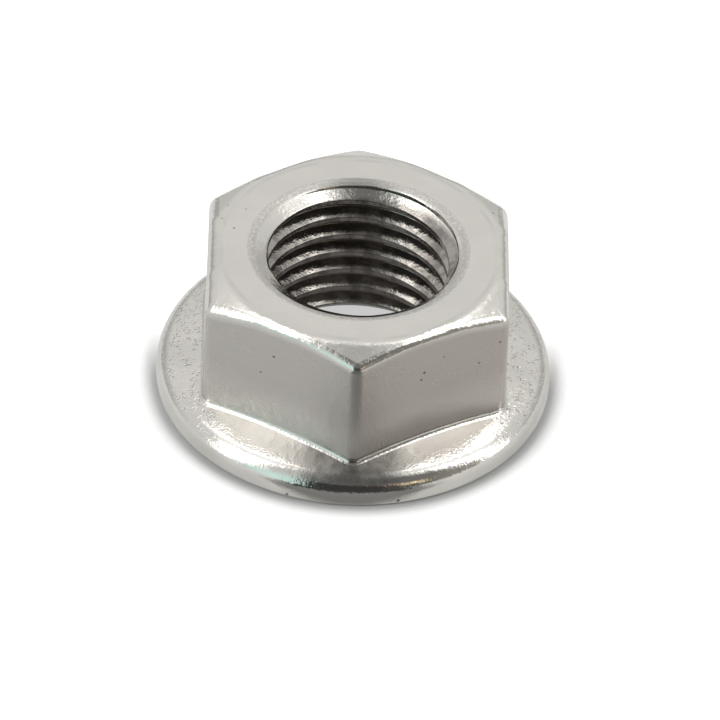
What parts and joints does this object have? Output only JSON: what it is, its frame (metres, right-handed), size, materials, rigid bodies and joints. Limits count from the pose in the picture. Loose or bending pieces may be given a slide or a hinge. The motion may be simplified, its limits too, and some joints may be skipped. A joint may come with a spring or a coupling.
{
  "type": "flange nut",
  "caption": "Hexagon nut with a wide crowned washer flange, a rounded rim, a chamfered top and a countersunk through thread.",
  "frame": {"origin": "middle of the flat bearing face under the flange, which is also the middle of the base of the box", "axes": "+Z runs along the thread axis from the bearing face to the top face; two upright corners of the hexagon lie on the Y axis, so two flats face along X"},
  "size_m": [0.0186, 0.0186, 0.0078],
  "materials": {
    "zinc_steel": "bright zinc-plated steel: satin hexagon and top face, glossier flange, darker thread"
  },
  "bodies": {
    "root": {"flange_nut": "zinc_steel"}
  },
  "joints": []
}
